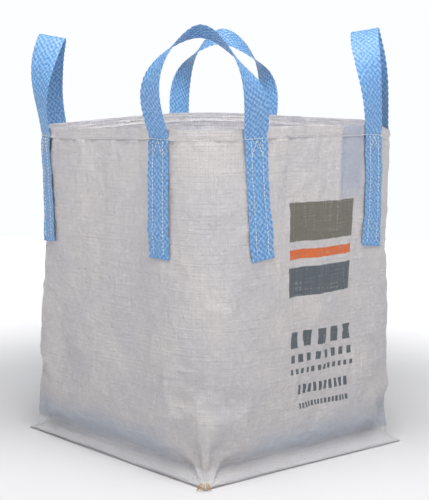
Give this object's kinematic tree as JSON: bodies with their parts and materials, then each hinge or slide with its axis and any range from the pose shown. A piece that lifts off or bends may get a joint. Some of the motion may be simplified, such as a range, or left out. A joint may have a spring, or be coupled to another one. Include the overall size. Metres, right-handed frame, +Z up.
{
  "type": "bulk bag",
  "caption": "Open-topped bulk bag of woven fabric with a square base and a webbing lift loop arched over each corner of its mouth.",
  "frame": {"origin": "middle of the underside of the square base, on the floor", "axes": "+Z up out of the mouth; -Y is the printed front wall, +Y back, -X left and +X right"},
  "size_m": [0.8814, 0.8814, 1.225],
  "materials": {
    "woven_fabric": "coated woven polypropylene, off-white, slight sheen",
    "webbing": "woven polypropylene webbing, light blue, slight sheen",
    "thread": "heavy polyester sewing thread, off-white, matt"
  },
  "bodies": {
    "bag": {"base_panel": "woven_fabric", "base_fin": "woven_fabric", "body_tube": "woven_fabric", "hem_stitch": "thread", "base_seam_stitch": "thread", "bend_front_wall_left": "webbing", "bend_front_wall_right": "webbing", "bend_right_wall_front": "webbing", "bend_right_wall_back": "webbing", "bend_back_wall_right": "webbing", "bend_back_wall_left": "webbing", "bend_left_wall_back": "webbing", "bend_left_wall_front": "webbing", "leg_front_wall_left": "webbing", "leg_front_wall_right": "webbing", "leg_right_wall_front": "webbing", "leg_right_wall_back": "webbing", "leg_back_wall_right": "webbing", "leg_back_wall_left": "webbing", "leg_left_wall_back": "webbing", "leg_left_wall_front": "webbing", "stitch_front_wall_left": "thread", "stitch_front_wall_right": "thread", "stitch_right_wall_front": "thread", "stitch_right_wall_back": "thread", "stitch_back_wall_right": "thread", "stitch_back_wall_left": "thread", "stitch_left_wall_back": "thread", "stitch_left_wall_front": "thread"},
    "front_left_loop": {"loop_front_left": "webbing"},
    "front_right_loop": {"loop_front_right": "webbing"},
    "back_right_loop": {"loop_back_right": "webbing"},
    "back_left_loop": {"loop_back_left": "webbing"}
  },
  "joints": [
    {"name": "front_left_swing", "type": "hinge", "parent": "bag", "child": "front_left_loop", "pos_m": [-0.31662, -0.31662, 1.005], "axis": [0.7071, -0.7071, 0], "range_deg": [-120, 110], "stiffness_Nm_per_rad": 0.4, "deforming": ["bend_front_wall_left", "bend_left_wall_front"]},
    {"name": "front_right_swing", "type": "hinge", "parent": "bag", "child": "front_right_loop", "pos_m": [0.31662, -0.31662, 1.005], "axis": [0.7071, 0.7071, 0], "range_deg": [-120, 110], "stiffness_Nm_per_rad": 0.4, "deforming": ["bend_front_wall_right", "bend_right_wall_front"]},
    {"name": "back_right_swing", "type": "hinge", "parent": "bag", "child": "back_right_loop", "pos_m": [0.31662, 0.31662, 1.005], "axis": [-0.7071, 0.7071, 0], "range_deg": [-120, 110], "stiffness_Nm_per_rad": 0.4, "deforming": ["bend_right_wall_back", "bend_back_wall_right"]},
    {"name": "back_left_swing", "type": "hinge", "parent": "bag", "child": "back_left_loop", "pos_m": [-0.31662, 0.31662, 1.005], "axis": [-0.7071, -0.7071, 0], "range_deg": [-120, 110], "stiffness_Nm_per_rad": 0.4, "deforming": ["bend_back_wall_left", "bend_left_wall_back"]}
  ]
}
